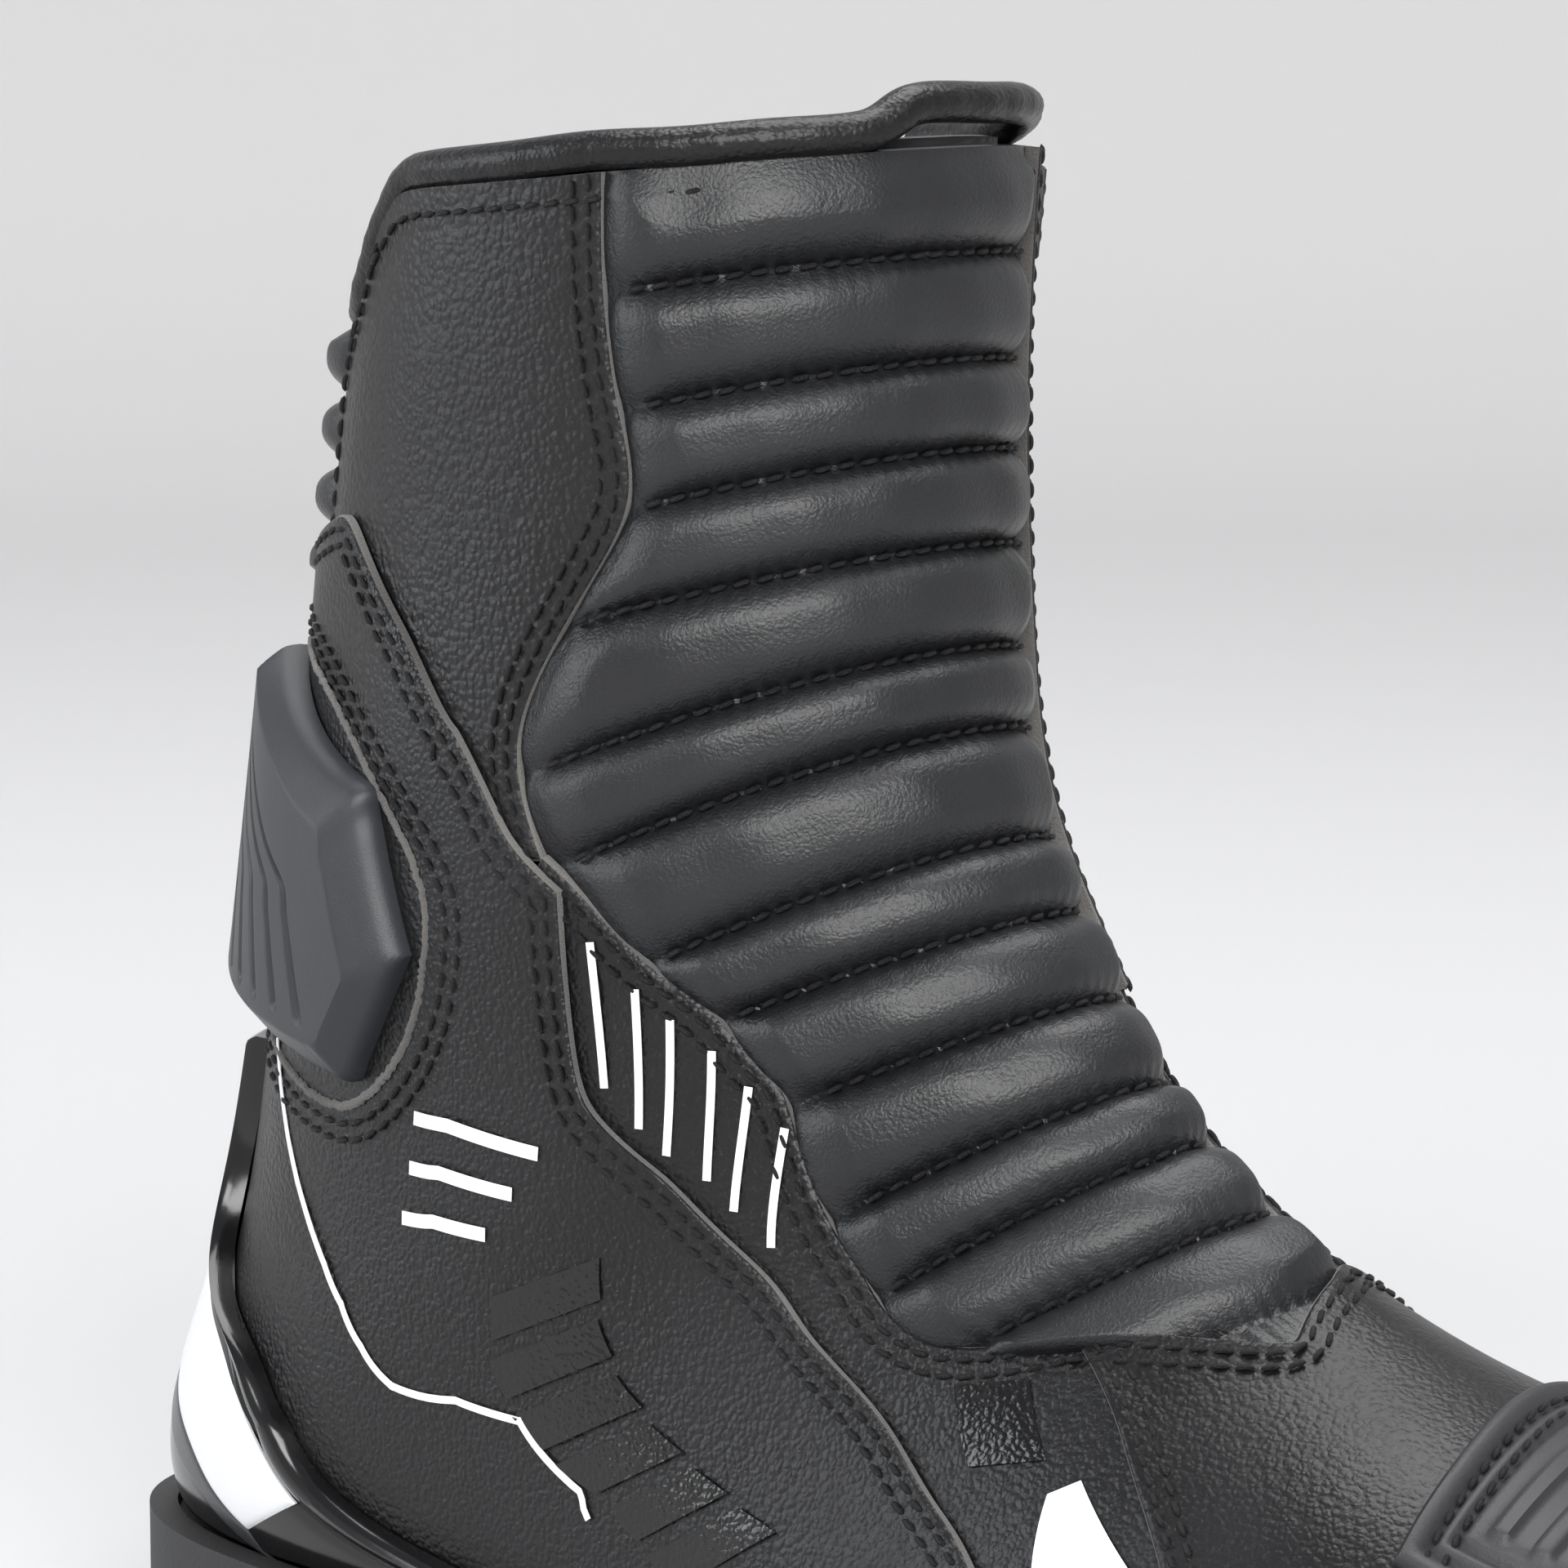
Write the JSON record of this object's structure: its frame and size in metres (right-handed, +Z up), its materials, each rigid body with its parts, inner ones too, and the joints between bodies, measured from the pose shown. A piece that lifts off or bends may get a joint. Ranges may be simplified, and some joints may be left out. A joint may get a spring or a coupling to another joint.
{
  "type": "short riding boot",
  "caption": "Short right-foot riding boot with quilted flex panels, moulded ankle and heel protection, medial zip and collar flap.",
  "frame": {"origin": "on the ground under the middle of the boot's bounding box", "axes": "+X towards the toe, +Y towards the medial (inner) side, +Z up"},
  "size_m": [0.3159, 0.1158, 0.237],
  "materials": {
    "rubber": "moulded, matte",
    "foam": "soft closed-cell foam",
    "steel": "plain strip",
    "board": "fibre board",
    "footbed": "woven top cloth",
    "smooth_leather": "smooth, satin",
    "grained_leather": "pebbled grain, satin",
    "quilted_leather": "fine grain, soft sheen",
    "gloss_plastic": "moulded, glossy",
    "matte_plastic": "moulded, fine texture",
    "white_band": "retro-reflective film",
    "lining": "knitted mesh",
    "zip_tape": "woven tape",
    "zip_metal": "dark plated metal",
    "hook_loop": "hook-and-loop tape"
  },
  "bodies": {
    "foot": {"outsole": "rubber", "heel_cushion": "foam", "shank": "steel", "insole_board": "board", "footbed": "footbed", "vamp": "smooth_leather", "toe_cap": "smooth_leather", "toe_puff": "board", "shift_pad": "rubber", "lateral_forefoot_panel": "smooth_leather", "medial_forefoot_panel": "smooth_leather", "lateral_quarter": "grained_leather", "medial_heel_quarter": "grained_leather", "medial_arch_quarter": "grained_leather", "heel_counter": "board", "heel_cup": "gloss_plastic", "heel_band": "white_band", "ankle_lining_lateral": "lining", "ankle_lining_medial": "lining", "foot_lining_lateral": "lining", "foot_lining_medial": "lining"},
    "shaft": {"front_flex_panel": "quilted_leather", "front_flex_foam": "foam", "rear_flex_panel": "quilted_leather", "rear_flex_foam": "foam", "lateral_shaft_panel": "grained_leather", "medial_front_panel": "grained_leather", "medial_rear_panel": "grained_leather", "collar_binding": "quilted_leather", "shaft_lining_lateral": "lining", "shaft_lining_front": "lining", "shaft_lining_rear": "lining", "lateral_ankle_foam": "foam", "medial_ankle_foam": "foam", "ankle_protector_pad": "foam", "ankle_protector_shell": "matte_plastic", "zip_tape_front": "zip_tape", "zip_tape_rear": "zip_tape", "zip_teeth_front": "zip_metal", "zip_teeth_rear": "zip_metal", "zip_top_stops": "zip_metal", "zip_bottom_stop": "zip_metal", "zip_gusset": "lining", "closure_loop_tape": "hook_loop"},
    "zip_slider": {"zip_slider": "zip_metal"},
    "zip_pull": {"zip_pull": "rubber"},
    "collar_flap": {"closure_flap": "smooth_leather", "closure_hook_tape": "hook_loop"}
  },
  "joints": [
    {"name": "ankle_flex", "type": "hinge", "parent": "foot", "child": "shaft", "pos_m": [-0.065, 0, 0.1], "axis": [0, 1, 0], "range_deg": [-8, 14], "stiffness_Nm_per_rad": 8, "deforming": ["lateral_quarter", "medial_heel_quarter", "medial_front_panel", "lateral_forefoot_panel", "front_flex_panel", "front_flex_foam", "ankle_lining_lateral", "ankle_lining_medial", "lateral_ankle_foam", "medial_ankle_foam"]},
    {"name": "zip_slide", "type": "slide", "parent": "shaft", "child": "zip_slider", "axis": [-0.051, -0.0259, -0.9984], "range_m": [0, 0.0935]},
    {"name": "zip_pull_hinge", "type": "hinge", "parent": "zip_slider", "child": "zip_pull", "pos_m": [-0.06233, 0.04668, 0.19783], "axis": [0.9987, 0, -0.051], "range_deg": [0, 120]},
    {"name": "collar_flap_hinge", "type": "hinge", "parent": "shaft", "child": "collar_flap", "pos_m": [-0.08037, 0.04121, 0.21498], "axis": [0.1628, -0.0043, 0.9866], "range_deg": [0, 100]}
  ]
}
